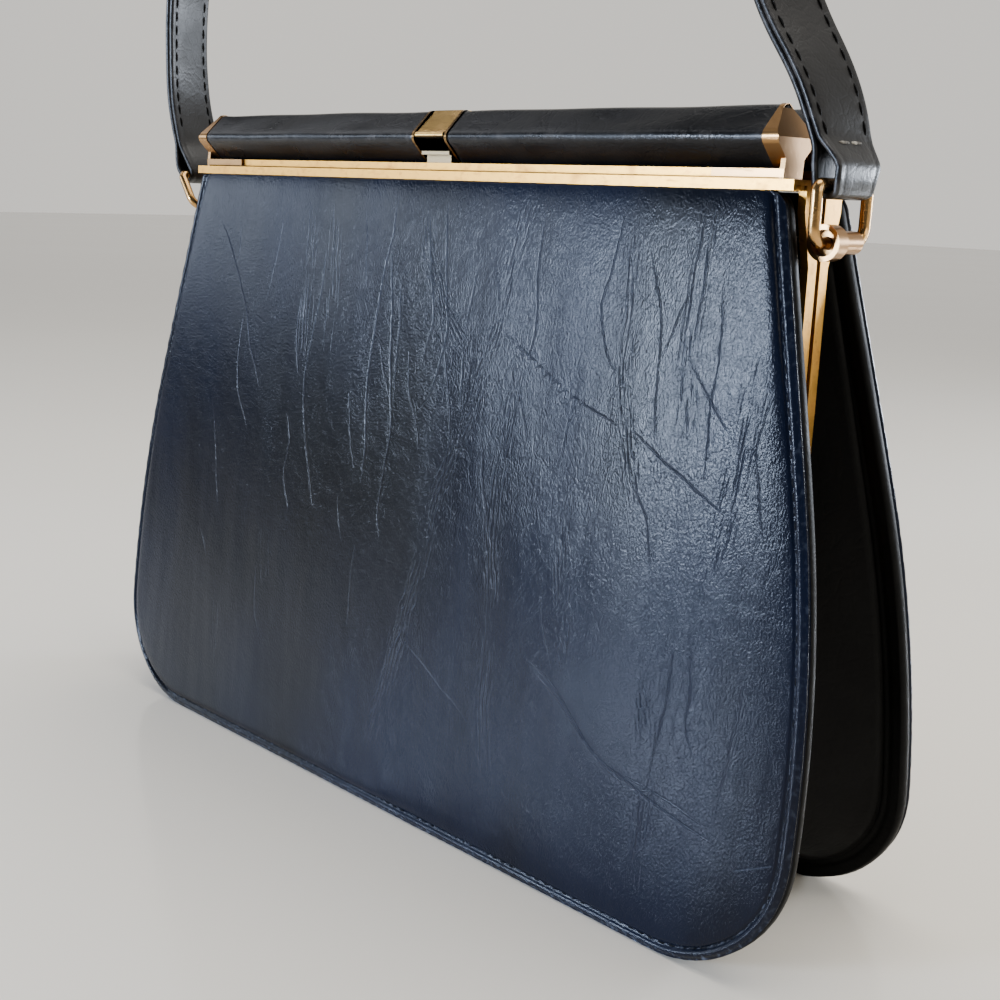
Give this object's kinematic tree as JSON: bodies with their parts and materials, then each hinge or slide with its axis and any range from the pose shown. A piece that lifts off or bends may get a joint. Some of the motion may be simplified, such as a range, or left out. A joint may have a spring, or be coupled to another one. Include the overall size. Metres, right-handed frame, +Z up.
{
  "type": "frame handbag",
  "caption": "A-shaped leather handbag on a hinged gold frame, with leather-covered top rolls, a lift clasp and an arched strap on side rings.",
  "frame": {"origin": "middle of the footprint, on the surface that the bag stands on", "axes": "+X along the width to the right seen from the front, +Y to the back, +Z up"},
  "size_m": [0.272, 0.0642, 0.3248],
  "materials": {
    "navy_leather": "glossy creased calf leather, navy to black",
    "black_leather": "matt black leather",
    "gold_metal": "polished pale gold plating",
    "pin_metal": "worn gold plating",
    "board": "pressed fibreboard",
    "lining": "black faille lining"
  },
  "bodies": {
    "back_half": {"back_bed_bar": "gold_metal", "back_end_cap_left": "gold_metal", "back_end_cap_right": "gold_metal", "back_frame": "gold_metal", "back_inner_rim_left": "gold_metal", "back_inner_rim_right": "gold_metal", "back_lining": "lining", "back_panel_backing": "black_leather", "back_panel_board": "board", "back_panel_leather": "navy_leather", "back_roll_core_left": "board", "back_roll_core_right": "board", "back_roll_leather_left": "navy_leather", "back_roll_leather_right": "navy_leather", "clasp_pin": "pin_metal", "gusset": "black_leather", "hinge_rivet_left": "pin_metal", "hinge_rivet_right": "pin_metal"},
    "front_half": {"front_bed_bar": "gold_metal", "front_end_cap_left": "gold_metal", "front_end_cap_right": "gold_metal", "front_frame": "gold_metal", "front_inner_rim_left": "gold_metal", "front_inner_rim_right": "gold_metal", "front_keeper": "gold_metal", "front_lining": "lining", "front_panel_backing": "black_leather", "front_panel_board": "board", "front_panel_leather": "navy_leather", "front_roll_core_left": "board", "front_roll_core_right": "board", "front_roll_leather_left": "navy_leather", "front_roll_leather_right": "navy_leather"},
    "clasp": {"clasp_plate": "gold_metal"},
    "handle": {"hanger_left": "gold_metal", "hanger_right": "gold_metal", "ring_left": "gold_metal", "ring_right": "gold_metal", "strap_lining": "navy_leather", "strap_outer": "navy_leather"}
  },
  "joints": [
    {"name": "frame_opening", "type": "hinge", "parent": "back_half", "child": "front_half", "pos_m": [0, 0, 0.086], "axis": [1, 0, 0], "range_deg": [0, 28], "deforming": ["gusset"]},
    {"name": "clasp_lift", "type": "hinge", "parent": "back_half", "child": "clasp", "pos_m": [0, 0.0077, 0.1901], "axis": [-1, 0, 0], "range_deg": [0, 80]},
    {"name": "handle_swing", "type": "hinge", "parent": "back_half", "child": "handle", "pos_m": [0, 0.0033, 0.168], "axis": [1, 0, 0], "range_deg": [-65, 32]}
  ]
}
